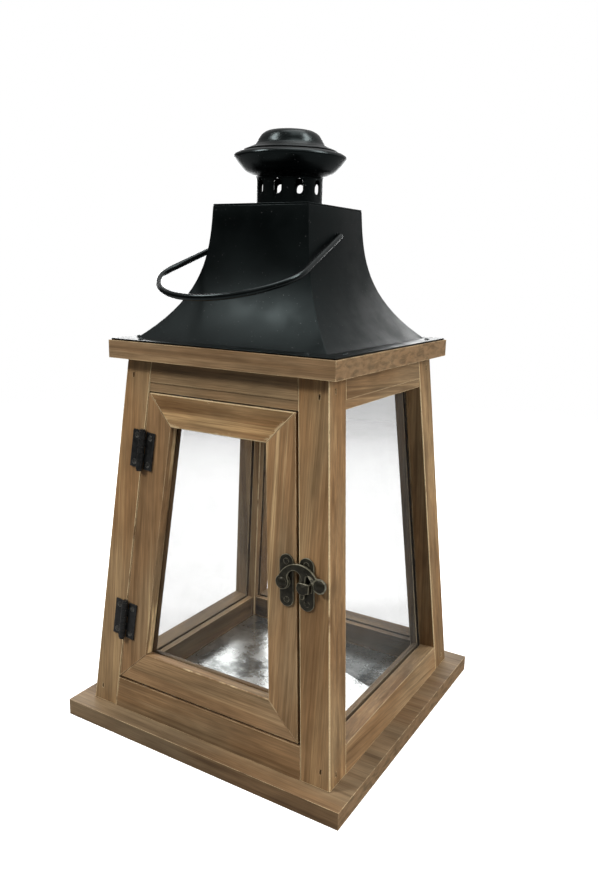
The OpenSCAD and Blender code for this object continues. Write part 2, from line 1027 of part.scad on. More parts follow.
module half_bail() {
    pin_end = bail_half - bend_cut;
    pin_start = pin_end - pin_in;
    head_t = 1;
    wire_run([pin_start, 0], [pin_end, 0]);
    translate([pin_start - head_t / 2, 0, 0])
        rotate([0, 90, 0])
            cylinder(r = wire_r + 0.6, h = head_t, $fn = 32);
    wire_arc([pin_end, bend_r], bend_r, -90, 90 - leg_splay);
    wire_run(leg_foot + bend_cut * leg_dir, leg_end);
    wire_arc(side_c, side_arc_r, -leg_splay, leg_splay + side_span);
}

module bail_handle() {
    color(BLACK)
        translate([0, 0, pivot_z])
            rotate([90 + bail_rest, 0, 0]) {
                half_bail();
                mirror([1, 0, 0]) half_bail();
                wire_arc(bottom_c, bottom_arc_r, side_span, 180 - 2 * side_span, 0);
            }
}

base_board();
floor_plate();
floor_screws();
post_front_right();
post_back_right();
post_back_left();
post_front_left();
front_bottom_rail();
front_top_rail();
right_bottom_rail();
right_top_rail();
back_bottom_rail();
back_top_rail();
left_bottom_rail();
left_top_rail();
door_stop();
right_glass();
back_glass();
left_glass();
top_board();
frame_brads();
base_screws();
top_board_screws();
door_left_stile();
door_right_stile();
door_top_rail();
door_bottom_rail();
door_glass();
door_left_bead();
door_right_bead();
door_top_bead();
door_bottom_bead();
lower_hinge_frame_leaf();
lower_hinge_door_leaf();
lower_hinge_pin();
upper_hinge_frame_leaf();
upper_hinge_door_leaf();
upper_hinge_pin();
hinge_frame_screws();
hinge_door_screws();
latch_plate();
latch_plate_screws();
latch_washer();
latch_rivet();
latch_arm();
keeper_plate();
keeper_screws();
roof_shell();
roof_nails();
roof_top_plate();
chimney_collar();
chimney_saucer();
chimney_dome();
bail_handle();
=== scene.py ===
import json
import math

import bmesh
import bpy
from mathutils import Matrix, Vector


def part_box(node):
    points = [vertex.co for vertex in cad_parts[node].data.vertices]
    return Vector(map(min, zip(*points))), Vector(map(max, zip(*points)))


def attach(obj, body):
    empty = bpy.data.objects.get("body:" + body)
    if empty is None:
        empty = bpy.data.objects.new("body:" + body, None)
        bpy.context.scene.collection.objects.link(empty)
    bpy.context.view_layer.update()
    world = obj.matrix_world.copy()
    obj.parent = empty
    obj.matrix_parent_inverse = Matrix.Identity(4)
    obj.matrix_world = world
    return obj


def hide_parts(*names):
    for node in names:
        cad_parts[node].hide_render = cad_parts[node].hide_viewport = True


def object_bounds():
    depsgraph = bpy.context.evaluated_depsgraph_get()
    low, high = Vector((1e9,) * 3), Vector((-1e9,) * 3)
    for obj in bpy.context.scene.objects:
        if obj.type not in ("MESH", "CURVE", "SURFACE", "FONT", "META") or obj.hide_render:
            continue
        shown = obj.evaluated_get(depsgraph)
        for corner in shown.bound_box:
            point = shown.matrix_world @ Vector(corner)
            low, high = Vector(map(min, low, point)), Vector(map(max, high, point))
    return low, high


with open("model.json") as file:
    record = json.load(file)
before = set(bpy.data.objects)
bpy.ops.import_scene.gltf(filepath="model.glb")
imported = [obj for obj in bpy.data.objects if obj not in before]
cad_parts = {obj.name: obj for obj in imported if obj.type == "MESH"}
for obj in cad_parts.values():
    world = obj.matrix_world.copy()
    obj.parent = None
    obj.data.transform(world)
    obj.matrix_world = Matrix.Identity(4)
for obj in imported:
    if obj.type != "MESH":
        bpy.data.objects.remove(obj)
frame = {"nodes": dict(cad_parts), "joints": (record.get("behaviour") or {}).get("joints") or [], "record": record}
cad_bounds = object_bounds()

MM = 0.001
NODES = frame["nodes"]
BODIES = frame["record"]["behaviour"]["bodies"]
JOINTS = {j["name"]: j for j in frame["joints"]}
BODY_OF = {n: body for body, members in BODIES.items() for n in members}

# Linear colours
STAIN_DARK = (0.095, 0.053, 0.024)
STAIN_MID = (0.250, 0.153, 0.078)
STAIN_OLIVE = (0.265, 0.200, 0.122)
STAIN_LIGHT = (0.400, 0.285, 0.165)
RAW_WOOD = (0.62, 0.47, 0.27)
END_GRAIN = (0.11, 0.072, 0.036)
WHITE = (1.0, 1.0, 1.0)

# Tone of the floor for bounced light, and the light added where it is seen
FLOOR_BOUNCE = (0.24, 0.24, 0.24)
FLOOR_FILL = 0.6
# Distances from the middle over which the floor fades into the backdrop, and its half width
FADE_START, FADE_END = 0.45, 1.2
FLOOR_REACH = 3.0
# Brightness of the room at the horizon, overhead, and added towards the back
ROOM_LOW, ROOM_TOP, ROOM_BACK = 0.035, 0.38, 0.28
# Where the lamps are aimed
LAMP_TARGET = Vector((0, 0, 0.15))

# The camera: its place, its turn in degrees (yaw, pitch, roll), and its lens on a 36 mm sensor
CAMERA_PLACE = (0.24352, -0.39253, 0.27628)
CAMERA_TURN = (30.705, 13.008, 1.386)
CAMERA_LENS = 31.144
CAMERA_SENSOR = 36

# Widths of the rounded arrises
WOOD_ARRIS = 0.6 * MM
BOARD_ARRIS = 0.7 * MM
BEAD_ARRIS = 0.3 * MM
PANE_ARRIS = 0.25 * MM
SHEET_ARRIS = 0.15 * MM
SCREW_ARRIS = 0.08 * MM
BRAD_ARRIS = 0.06 * MM
HINGE_ARRIS = 0.14 * MM
LATCH_ARRIS = 0.3 * MM
ARM_ARRIS = 0.45 * MM
ROOF_ARRIS = 0.35 * MM
PLATE_ARRIS = 0.25 * MM
NAIL_ARRIS = 0.1 * MM
# Edges shorter than these stay sharp: on long members, on thin sheet and on small metalwork
LONG_EDGE = 3 * MM
SHEET_EDGE = 1 * MM
SMALL_EDGE = 0.3 * MM


# ---------------------------------------------------------------- shader helpers

class Net:
    """A material's node tree, built by calls that return output sockets."""

    def __init__(self, name):
        self.mat = bpy.data.materials.new(name)
        self.mat.use_nodes = True
        self.tree = self.mat.node_tree
        self.tree.nodes.clear()
        self.out = self.tree.nodes.new("ShaderNodeOutputMaterial")
        self.shader = self.tree.nodes.new("ShaderNodeBsdfPrincipled")
        self.tree.links.new(self.shader.outputs[0], self.out.inputs["Surface"])

    def put(self, socket, value):
        if isinstance(value, bpy.types.NodeSocket):
            self.tree.links.new(value, socket)
        elif isinstance(value, (tuple, list)) and len(value) == 3 and socket.type == "RGBA":
            socket.default_value = (*value, 1.0)
        else:
            socket.default_value = value

    def set(self, **values):
        for key, value in values.items():
            self.put(self.shader.inputs[key.replace("_", " ")], value)

    def position(self):
        return self.tree.nodes.new("ShaderNodeTexCoord").outputs["Object"]

    def normal(self):
        return self.tree.nodes.new("ShaderNodeTexCoord").outputs["Normal"]

    def math(self, kind, a, b=0.0, c=0.0, clamp=False):
        node = self.tree.nodes.new("ShaderNodeMath")
        node.operation = kind
        node.use_clamp = clamp
        for i, value in enumerate((a, b, c)):
            self.put(node.inputs[i], value)
        return node.outputs[0]

    def dot(self, a, b):
        node = self.tree.nodes.new("ShaderNodeVectorMath")
        node.operation = "DOT_PRODUCT"
        self.put(node.inputs[0], a)
        self.put(node.inputs[1], b)
        return node.outputs["Value"]

    def combine(self, x, y, z):
        node = self.tree.nodes.new("ShaderNodeCombineXYZ")
        for i, value in enumerate((x, y, z)):
            self.put(node.inputs[i], value)
        return node.outputs[0]

    def stretched(self, point, scale, shift=(0.0, 0.0, 0.0)):
        node = self.tree.nodes.new("ShaderNodeMapping")
        self.put(node.inputs["Vector"], point)
        node.inputs["Scale"].default_value = scale
        node.inputs["Location"].default_value = shift
        return node.outputs[0]

    def noise(self, point, scale=1.0, detail=3.0, rough=0.55, warp=0.0):
        node = self.tree.nodes.new("ShaderNodeTexNoise")
        self.put(node.inputs["Vector"], point)
        node.inputs["Scale"].default_value = scale
        node.inputs["Detail"].default_value = detail
        node.inputs["Roughness"].default_value = rough
        node.inputs["Distortion"].default_value = warp
        return node.outputs["Fac"]

    def ramp(self, factor, *stops):
        node = self.tree.nodes.new("ShaderNodeValToRGB")
        node.color_ramp.interpolation = "EASE"
        elements = node.color_ramp.elements
        while len(elements) < len(stops):
            elements.new(0.5)
        for element, (place, colour) in zip(elements, stops):
            element.position = place
            element.color = (*colour, 1.0)
        self.put(node.inputs[0], factor)
        return node.outputs["Color"]

    def span(self, value, low, high, out_low=0.0, out_high=1.0):
        node = self.tree.nodes.new("ShaderNodeMapRange")
        node.interpolation_type = "SMOOTHSTEP"
        for i, number in enumerate((value, low, high, out_low, out_high)):
            self.put(node.inputs[i], number)
        return node.outputs[0]

    def mix(self, factor, a, b, blend="MIX"):
        node = self.tree.nodes.new("ShaderNodeMix")
        node.data_type = "RGBA"
        node.blend_type = blend
        self.put(node.inputs[0], factor)
        self.put(node.inputs[6], a)
        self.put(node.inputs[7], b)
        return node.outputs[2]

    def bump(self, height, distance, strength=1.0, under=None):
        node = self.tree.nodes.new("ShaderNodeBump")
        node.inputs["Strength"].default_value = strength
        node.inputs["Distance"].default_value = distance
        self.put(node.inputs["Height"], height)
        if under is not None:
            self.put(node.inputs["Normal"], under)
        return node.outputs[0]

    def edges(self, radius, low=0.04, high=0.3):
        """1 near a sharp edge of the piece and 0 on its flats."""
        node = self.tree.nodes.new("ShaderNodeBevel")
        node.samples = 6
        node.inputs["Radius"].default_value = radius
        flat = self.tree.nodes.new("ShaderNodeNewGeometry").outputs["Normal"]
        return self.span(self.math("SUBTRACT", 1.0, self.dot(node.outputs[0], flat)), low, high)


# ---------------------------------------------------------------- materials

def wood(name, along, across, seed, tone, streaks, wear=1.0, warm=0.5, patches=0.0, inward=None):
    """Stained softwood whose grain runs along one direction of the piece.

    tone scales its brightness, streaks the pale lines in it, wear and patches the raw wood at its
    arrises, and warm its redness. A side that faces inward is painted darker, as painted shade inside the lantern.
    """
    net = Net(name)
    point = net.position()
    along, across = Vector(along).normalized(), Vector(across).normalized()
    facing = along.cross(across).normalized()
    a, c, n = (net.dot(point, tuple(v)) for v in (along, across, facing))
    grain = net.stretched(net.combine(a, c, n), (1.0, 1.0, 1.0), (seed * 1.37, seed * 0.71, seed * 0.29))

    figure = net.noise(net.stretched(grain, (5.0, 120.0, 120.0)), detail=5.0, rough=0.62, warp=0.25)
    band = net.noise(net.stretched(grain, (1.6, 190.0, 190.0)), detail=1.5, warp=0.1)
    lines = net.noise(net.stretched(grain, (16.0, 900.0, 900.0)), detail=3.0, rough=0.65)
    fibre = net.noise(net.stretched(grain, (90.0, 2600.0, 2600.0)), detail=2.0)
    blotch = net.noise(net.stretched(grain, (16.0, 42.0, 42.0)), detail=3.0, rough=0.6)
    hue = net.noise(net.stretched(grain, (9.0, 30.0, 30.0)), detail=2.0)

    stain = net.mix(net.span(hue, 0.4, 0.62, 0.0, 0.6), STAIN_MID, STAIN_OLIVE)
    colour = net.mix(net.span(figure, 0.46, 0.30, 0.0, 0.55), stain, STAIN_DARK)
    colour = net.mix(net.span(figure, 0.58, 0.76, 0.0, 0.5), colour, STAIN_LIGHT)
    light_streak = net.math("MULTIPLY", net.span(band, 0.52, 0.60), streaks)
    light_streak = net.math("MULTIPLY", light_streak, net.span(lines, 0.35, 0.6, 0.35, 1.0))
    colour = net.mix(light_streak, colour, RAW_WOOD)
    dark_streak = net.math("MULTIPLY", net.span(band, 0.42, 0.34), 0.4)
    colour = net.mix(dark_streak, colour, STAIN_DARK)
    shade = net.math("MULTIPLY", net.span(lines, 0.3, 0.7, 0.84, 1.16),
                     net.span(blotch, 0.3, 0.7, 0.78, 1.20))
    shade = net.math("MULTIPLY", shade, net.span(fibre, 0.25, 0.75, 0.86, 1.14))
    shade = net.math("MULTIPLY", shade, tone)
    # Faces turned inward are painted darker: painted shade on the inside of the frame
    if inward:
        shade = net.math("MULTIPLY", shade, net.span(net.dot(net.normal(), inward), 0.6, 0.95, 1.0, 0.45))
    tint = net.combine(shade, net.math("MULTIPLY", shade, 1 - 0.11 * warm),
                       net.math("MULTIPLY", shade, 1 - 0.28 * warm))
    colour = net.mix(1.0, colour, tint, "MULTIPLY")

    # The ends of the piece show rings, and drink more stain
    end = net.span(net.math("ABSOLUTE", net.dot(net.normal(), tuple(along))), 0.75, 0.95)
    rings = net.noise(net.stretched(grain, (1.0, 120.0, 420.0)), detail=3.0, warp=0.8)
    end_colour = net.ramp(rings, (0.3, END_GRAIN), (0.6, STAIN_MID), (0.85, STAIN_OLIVE))
    colour = net.mix(net.math("MULTIPLY", end, 0.75), colour, end_colour)

    # Worn arrises: raw wood, broken up along the edge
    patchy = net.noise(net.stretched(grain, (55.0, 160.0, 160.0)), detail=3.0)
    worn = net.math("MULTIPLY", net.edges(1.1 * MM, 0.04, 0.25), net.span(patchy, 0.36, 0.6, 0.1, 0.8))
    if patches:
        chipped = net.noise(net.stretched(grain, (70.0, 110.0, 110.0)), detail=4.0, rough=0.65)
        rubbed = net.math("MULTIPLY", net.edges(4.5 * MM, 0.01, 0.12),
                          net.span(chipped, 0.55, 0.60, 0.0, patches))
        worn = net.math("MAXIMUM", worn, rubbed)
    worn = net.math("MULTIPLY", worn, wear, clamp=True)
    colour = net.mix(worn, colour, RAW_WOOD)

    height = net.math("ADD", net.math("MULTIPLY", fibre, 0.5), net.math("MULTIPLY", lines, 0.6))
    height = net.math("ADD", height, net.math("MULTIPLY", figure, 0.4))
    net.set(Base_Color=colour, Roughness=net.span(lines, 0.2, 0.8, 0.55, 0.78),
            Normal=net.bump(height, 0.16 * MM, 0.7))
    net.shader.inputs["Specular IOR Level"].default_value = 0.22
    return net.mat


def worn_wood(name, low, high):
    """Arrises rubbed through to raw wood, with stain left where the noise is under low to high."""
    net = Net(name)
    point = net.position()
    patchy = net.noise(point, scale=75.0, detail=4.0, rough=0.6)
    fibre = net.noise(point, scale=900.0, detail=2.0)
    colour = net.ramp(patchy, (low, STAIN_MID), (high, RAW_WOOD))
    shade = net.span(fibre, 0.3, 0.7, 0.85, 1.1)
    colour = net.mix(1.0, colour, net.combine(shade, shade, shade), "MULTIPLY")
    net.set(Base_Color=colour, Roughness=net.span(fibre, 0.3, 0.7, 0.6, 0.8),
            Normal=net.bump(fibre, 0.05 * MM, 0.5))
    net.shader.inputs["Specular IOR Level"].default_value = 0.2
    return net.mat


def black_paint(name, rough, colour_low, colour_high, gloss, waves=0.35):
    """Black paint on thin sheet or wire, with slight waves, dust and rubbed edges."""
    net = Net(name)
    point = net.position()
    haze = net.noise(point, scale=55.0, detail=4.0)
    grit = net.noise(point, scale=2600.0, detail=2.0)
    wave = net.noise(point, scale=28.0, detail=1.0)
    colour = net.ramp(haze, (0.35, colour_low), (0.7, colour_high))
    rubbed = net.math("MULTIPLY", net.edges(0.8 * MM, 0.08, 0.4),
                      net.span(net.noise(point, scale=300.0), 0.45, 0.65))
    colour = net.mix(net.math("MULTIPLY", rubbed, 0.5), colour, (0.12, 0.13, 0.13))
    speck = net.span(net.noise(point, scale=900.0, detail=1.0), 0.74, 0.8)
    colour = net.mix(net.math("MULTIPLY", speck, 0.35), colour, (0.2, 0.2, 0.2))
    fine = net.bump(grit, 0.02 * MM, 0.35)
    net.set(Base_Color=colour, Roughness=net.span(haze, 0.3, 0.7, *rough),
            Normal=net.bump(wave, 0.35 * MM, waves, fine))
    net.set(Specular_Tint=(0.78, 1.0, 1.0))
    net.shader.inputs["Specular IOR Level"].default_value = gloss
    return net.mat


def worn_metal(name, base, bright, rough, metallic, edge):
    """Dark finished metal, rubbed bright within a width of its edges."""
    net = Net(name)
    point = net.position()
    cloud = net.noise(point, scale=420.0, detail=4.0)
    fine = net.noise(point, scale=3200.0, detail=2.0)
    dark = tuple(c * 0.55 for c in base)
    colour = net.ramp(cloud, (0.35, dark), (0.65, base))
    rubbed = net.math("MULTIPLY", net.edges(edge, 0.05, 0.3),
                      net.span(net.noise(point, scale=700.0), 0.35, 0.6))
    colour = net.mix(net.math("MULTIPLY", rubbed, 0.8), colour, bright)
    net.set(Base_Color=colour, Roughness=net.span(cloud, 0.3, 0.7, *rough),
            Normal=net.bump(fine, 0.03 * MM, 0.4))
    net.shader.inputs["Metallic"].default_value = metallic
    return net.mat


def galvanised(name):
    """Dull zinc sheet with cloudy stains, water marks and fine scratches."""
    net = Net(name)
    point = net.position()
    cloud = net.noise(point, scale=30.0, detail=6.0, rough=0.66)
    spots = net.noise(point, scale=260.0, detail=4.0, rough=0.7)
    scratch = net.noise(net.stretched(point, (30.0, 1500.0, 30.0)), detail=1.0)
    colour = net.ramp(cloud, (0.36, (0.17, 0.18, 0.175)), (0.5, (0.56, 0.58, 0.57)),
                      (0.66, (0.88, 0.90, 0.88)))
    colour = net.mix(net.span(spots, 0.5, 0.75, 0.0, 0.5), colour, (0.30, 0.31, 0.30))
    net.set(Base_Color=colour, Roughness=net.span(cloud, 0.3, 0.7, 0.20, 0.36),
            Normal=net.bump(scratch, 0.01 * MM, 0.2))
    net.shader.inputs["Metallic"].default_value = 0.92
    return net.mat


def window_glass(name):
    """Thin clear glass with a faint grey tint, and a little dust."""
    net = Net(name)
    point = net.position()
    dust = net.noise(point, scale=60.0, detail=5.0, rough=0.7)
    facing = net.tree.nodes.new("ShaderNodeLayerWeight")
    facing.inputs["Blend"].default_value = 0.2
    veil = net.span(dust, 0.4, 0.8, 0.075, 0.09)
    alpha = net.math("ADD", veil, net.math("MULTIPLY", facing.outputs["Fresnel"], 0.3), clamp=True)
    net.set(Base_Color=net.ramp(dust, (0.3, (0.07, 0.08, 0.08)), (0.7, (0.11, 0.12, 0.12))),
            Roughness=net.span(dust, 0.3, 0.7, 0.02, 0.05), Alpha=alpha)
    net.shader.inputs["Specular IOR Level"].default_value = 1.0
    return net.mat


# ---------------------------------------------------------------- mesh helpers

def harden(mesh):
    """Keeps the flats flat, so that only the rounded arrises (material 1) are shaded round."""
    flats = {}
    for polygon in mesh.polygons:
        if polygon.material_index == 0:
            for corner in polygon.vertices:
                flats.setdefault(corner, []).append(polygon.normal.copy())
    normals = [None] * len(mesh.loops)
    for polygon in mesh.polygons:
        for loop, corner in zip(polygon.loop_indices, polygon.vertices):
            normal = polygon.normal
            if polygon.material_index == 1 and corner in flats:
                nearest = max(flats[corner], key=normal.dot)
                normal = nearest if normal.dot(nearest) > 0.7 else normal
            normals[loop] = tuple(normal)
    mesh.normals_split_custom_set(normals)


def new_piece(name, bm, node, materials, smooth_angle=32.0, hardened=False):
    """Links a finished mesh that rides and replaces as its CAD node does."""
    mesh = bpy.data.meshes.new(name)
    bm.normal_update()
    bm.to_mesh(mesh)
    bm.free()
    piece = bpy.data.objects.new(name, mesh)
    bpy.context.scene.collection.objects.link(piece)
    for material in materials:
        mesh.materials.append(material)
    for polygon in mesh.polygons:
        polygon.use_smooth = True
    mesh.set_sharp_from_angle(angle=math.radians(smooth_angle))
    if hardened:
        harden(mesh)
    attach(piece, BODY_OF[node])
    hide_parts(node)
    return piece


def cad_copy(node):
    """The node's mesh as a bmesh with welded corners and flat faces joined up."""
    bm = bmesh.new()
    bm.from_mesh(NODES[node].data)
    bmesh.ops.remove_doubles(bm, verts=bm.verts, dist=2e-6)
    bmesh.ops.dissolve_limit(bm, angle_limit=math.radians(0.6), verts=bm.verts, edges=bm.edges)
    return bm


def sharp_edges(bm, degrees):
    limit = math.radians(degrees)
    return [e for e in bm.edges if len(e.link_faces) == 2 and e.calc_face_angle(0.0) > limit]


def detailed(node, material, bevel, degrees=40.0, segments=2, smooth_angle=32.0, shortest=0.0, arris=None,
             clamp=True):
    """A copy of the node with rounded arrises, which may have a material of their own."""
    bm = cad_copy(node)
    edges = [e for e in sharp_edges(bm, degrees) if e.calc_length() > shortest]
    bmesh.ops.bevel(bm, geom=edges, offset=bevel, offset_type="OFFSET", segments=segments,
                    profile=0.5, affect="EDGES", clamp_overlap=clamp, material=1 if arris else -1)
    bmesh.ops.triangulate(bm, faces=[f for f in bm.faces if len(f.verts) > 4])
    return new_piece("look_" + node, bm, node, [material] + ([arris] if arris else []), smooth_angle,
                     hardened=arris is not None and smooth_angle < 35)


# ---------------------------------------------------------------- places read from the frame

def centre(node):
    low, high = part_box(node)
    return (low + high) / 2


# The hinges' axis leans with the door's left seam; the latch turns about the front's outward normal
seam = -Vector(JOINTS["door_swing"]["axis"])
front_out = Vector(JOINTS["latch_lift"]["axis"])
X, Y, Z = Vector((1, 0, 0)), Vector((0, 1, 0)), Vector((0, 0, 1))
front_up = front_out.cross(X)


def turned(vector, degrees):
    return Matrix.Rotation(math.radians(degrees), 3, "Z") @ vector


def post_direction(node):
    """A post leans inwards both ways, like the door's seam."""
    middle = centre(node)
    return Vector((-math.copysign(seam.x, middle.x), -math.copysign(seam.x, middle.y), seam.z))


# ---------------------------------------------------------------- wood pieces

arris = worn_wood("worn_arris", 0.30, 0.46)
soft_arris = worn_wood("half_worn_arris", 0.48, 0.72)

seed = 3
for node in ("post_front_right", "post_back_right", "post_back_left", "post_front_left"):
    seed += 5
    detailed(node, wood("wood_" + node, post_direction(node), X, seed, 1.03, 0.14, warm=0.7),
             WOOD_ARRIS, segments=3, shortest=LONG_EDGE, arris=arris)

RAIL_TURNS = {"front": 0, "right": 90, "back": 180, "left": 270}
for side, degrees in RAIL_TURNS.items():
    for level in ("bottom", "top"):
        node = f"{side}_{level}_rail"
        seed += 5
        # The top rails are painted a little darker, as painted shade under the top board's overhang; the right,
        # back and left bottom rails are painted lighter, as painted light on their lit top faces
        tone = 0.95 if level == "top" else 0.86 if side == "front" else 1.05
        material = wood("wood_" + node, turned(X, degrees), front_up, seed, tone, 0.12, warm=0.4,
                        inward=tuple(turned(Y, degrees)))
        # The right, back and left rails take the fuller raw-wood arris: worn wood on all of them, and also painted
        # light along the lit top edges of the side bottom rails
        detailed(node, material, WOOD_ARRIS, arris=soft_arris if side == "front" else arris)

detailed("base_board", wood("wood_base_board", X, Y, 71, 0.70, 0.15, warm=0.1),
         BOARD_ARRIS, segments=3, arris=arris)
detailed("top_board", wood("wood_top_board", X, Y, 83, 0.92, 0.15, warm=0.1),
         BOARD_ARRIS, segments=3, arris=soft_arris)

left_up = seam
right_up = Vector((-seam.x, seam.y, seam.z))
detailed("door_left_stile", wood("wood_door_left", left_up, X, 97, 1.0, 0.95, 1.2, warm=0.45),
         WOOD_ARRIS, shortest=LONG_EDGE, arris=soft_arris)
detailed("door_right_stile", wood("wood_door_right", right_up, X, 105, 1.08, 0.5, 1.2, warm=0.5),
         WOOD_ARRIS, shortest=LONG_EDGE, arris=soft_arris)
detailed("door_top_rail", wood("wood_door_top", X, front_up, 117, 1.12, 0.35, 1.2, warm=0.9, patches=0.8),
         WOOD_ARRIS, arris=arris)
detailed("door_bottom_rail", wood("wood_door_bottom", X, front_up, 129, 1.0, 0.15, 1.2, warm=0.3),
         WOOD_ARRIS, arris=soft_arris)

for node, along in (("door_left_bead", left_up), ("door_right_bead", right_up),
                    ("door_top_bead", X), ("door_bottom_bead", X), ("door_stop", right_up)):
    seed += 5
    across = front_up if along == X else X
    detailed(node, wood("wood_" + node, along, across, seed, 0.7, 0.1, 0.5), BEAD_ARRIS)

# ---------------------------------------------------------------- glass and floor

glass = window_glass("clear_glass")
for node in ("right_glass", "back_glass", "left_glass", "door_glass"):
    detailed(node, glass, PANE_ARRIS, segments=1)

detailed("floor_plate", galvanised("galvanised_sheet"), SHEET_ARRIS, segments=1)

# ---------------------------------------------------------------- metalwork

screw_steel = worn_metal("screw_steel", (0.17, 0.165, 0.15), (0.5, 0.49, 0.45), (0.28, 0.42), 0.9, 0.2 * MM)
dull_steel = worn_metal("dull_steel", (0.10, 0.095, 0.09), (0.3, 0.29, 0.27), (0.4, 0.6), 0.8, 0.2 * MM)
hinge_black = worn_metal("hinge_black", (0.035, 0.035, 0.034), (0.22, 0.21, 0.19), (0.35, 0.5), 0.6,
                         0.35 * MM)
bronze = worn_metal("latch_bronze", (0.045, 0.041, 0.028), (0.36, 0.33, 0.24), (0.3, 0.45), 0.6, 0.5 * MM)
bronze_edge = worn_metal("latch_bronze_edge", (0.30, 0.28, 0.20), (0.5, 0.47, 0.36), (0.3, 0.45), 0.6,
                         0.4 * MM)

for node in ("floor_screws", "hinge_frame_screws", "hinge_door_screws"):
    detailed(node, screw_steel, SCREW_ARRIS, segments=1, shortest=SMALL_EDGE)
for node in ("latch_plate_screws", "keeper_screws"):
    detailed(node, bronze, SCREW_ARRIS, segments=1, shortest=SMALL_EDGE)
for node in ("frame_brads", "base_screws", "top_board_screws"):
    detailed(node, dull_steel, BRAD_ARRIS, segments=1)
for node in NODES:
    if "hinge" in node and "screws" not in node:
        detailed(node, hinge_black, HINGE_ARRIS, shortest=SMALL_EDGE)
for node in ("latch_plate", "latch_washer", "latch_rivet", "keeper_plate"):
    detailed(node, bronze, LATCH_ARRIS, segments=3, smooth_angle=40, arris=bronze_edge, clamp=False)
detailed("latch_arm", bronze, ARM_ARRIS, segments=4, smooth_angle=60, arris=bronze_edge, clamp=False)

# ---------------------------------------------------------------- roof

roof_black = black_paint("roof_black", (0.36, 0.48), (0.0006, 0.0010, 0.0010), (0.0016, 0.0024, 0.0024), 0.20)
cap_black = black_paint("cap_black", (0.2, 0.26), (0.0006, 0.0009, 0.0009), (0.0012, 0.0016, 0.0016), 0.24,
                        waves=0.08)
bail_black = black_paint("bail_black", (0.18, 0.28), (0.001, 0.001, 0.001), (0.003, 0.003, 0.003), 0.4)

detailed("roof_shell", roof_black, ROOF_ARRIS, degrees=30, segments=3, smooth_angle=28, shortest=SHEET_EDGE)
detailed("roof_top_plate", roof_black, PLATE_ARRIS)
detailed("roof_nails", roof_black, NAIL_ARRIS, segments=1)
detailed("chimney_collar", cap_black, SHEET_ARRIS)


def smooth_curve(points, steps):
    """Points along a smooth curve that goes through the given ones."""
    ends = [points[0] * 2 - points[1], *points, points[-1] * 2 - points[-2]]
    curve = []
    for p0, p1, p2, p3 in zip(ends, ends[1:], ends[2:], ends[3:]):
        for i in range(steps):
            t = i / steps
            curve.append(0.5 * (2 * p1 + (p2 - p0) * t + (2 * p0 - 5 * p1 + 4 * p2 - p3) * t * t
                                + (3 * p1 - p0 - 3 * p2 + p3) * t ** 3))
    return curve + [points[-1]]


def lathe(outline, around=120):
    """A closed ring, or a cap where the outline meets the axis, from (radius, height) points."""
    bm = bmesh.new()
    rows = []
    for r, z in outline:
        if r < 1e-6:
            rows.append([bm.verts.new((0, 0, z))] * around)
            continue
        angles = [2 * math.pi * i / around for i in range(around)]
        rows.append([bm.verts.new((r * math.cos(t), r * math.sin(t), z)) for t in angles])
    for low, high in zip(rows, rows[1:]):
        for i in range(around):
            corners = [low[i], low[(i + 1) % around], high[(i + 1) % around], high[i]]
            unique = list(dict.fromkeys(corners))
            if len(unique) > 2:
                bm.faces.new(unique)
    bmesh.ops.recalc_face_normals(bm, faces=bm.faces)
    return bm


def cap_pieces():
    """The chimney's flared saucer with its rolled edge, and the stepped dome that sits on it."""
    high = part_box("chimney_saucer")[1]
    seat = 3.3
    brim_r, brim_z = high.x, high.z - seat * MM
    top = (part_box("chimney_dome")[1].z - brim_z) / MM
    axis = -brim_r / MM

    def by_brim(points):
        """Places given in mm outwards from the brim and up from it."""
        return [Vector((brim_r + x * MM, brim_z + z * MM)) for x, z in points]

    flare = by_brim([(-13.1, -10.9), (-12.2, -10.2), (-10.5, -9.6), (-6.7, -7.8), (-3.7, -5), (-1.6, -2.4),
                     (0, 0), (-0.1, 0.9), (-0.8, 1.8), (-2.4, 2.7), (-4.4, seat)])
    back = by_brim([(-6.8, seat), (-6.8, 2.5), (-4.6, 2.5), (-2.9, 2), (-1.6, 1.2), (-1.1, 0.4), (-2.4, -1.6),
                    (-4.5, -4.2), (-7.5, -7), (-11.3, -8.8), (-13, -9.4), (-14.1, -10.2), (-14.1, -10.9)])
    outline = smooth_curve(flare, 5) + back
    bm = lathe([tuple(p) for p in outline + outline[:1]])
    bmesh.ops.remove_doubles(bm, verts=bm.verts, dist=1e-6)
    new_piece("look_chimney_saucer", bm, "chimney_saucer", [cap_black], 50)

    edge = by_brim([(-6.6, seat), (-5.5, seat), (-5.4, seat + 0.2), (-5.4, seat + 0.8), (-5.6, seat + 1)])
    rise = by_brim([(-5.6, seat + 1), (-8.6, 5.6), (-10.2, 6.0), (-11.2, 6.7), (-12.4, 7.2), (-13.5, 8.6),
                    (-14.9, 11), (-16.6, 13.2), (-19, 14.7), (-21.2, top - 0.2), (-24, top), (axis, top)])
    outside = edge[:-1] + smooth_curve(rise, 5)
    outside = [Vector((max(0.0, p.x), min(p.y, brim_z + top * MM))) for p in outside]
    inside = [Vector((max(0.0, p.x - 0.4 * MM), p.y - MM)) for p in reversed(outside) if p.x < edge[0].x]
    outline = outside + inside
    bm = lathe([tuple(p) for p in outline + outline[:1]])
    bmesh.ops.remove_doubles(bm, verts=bm.verts, dist=1e-6)
    new_piece("look_chimney_dome", bm, "chimney_dome", [cap_black], 40)


cap_pieces()


# ---------------------------------------------------------------- bail

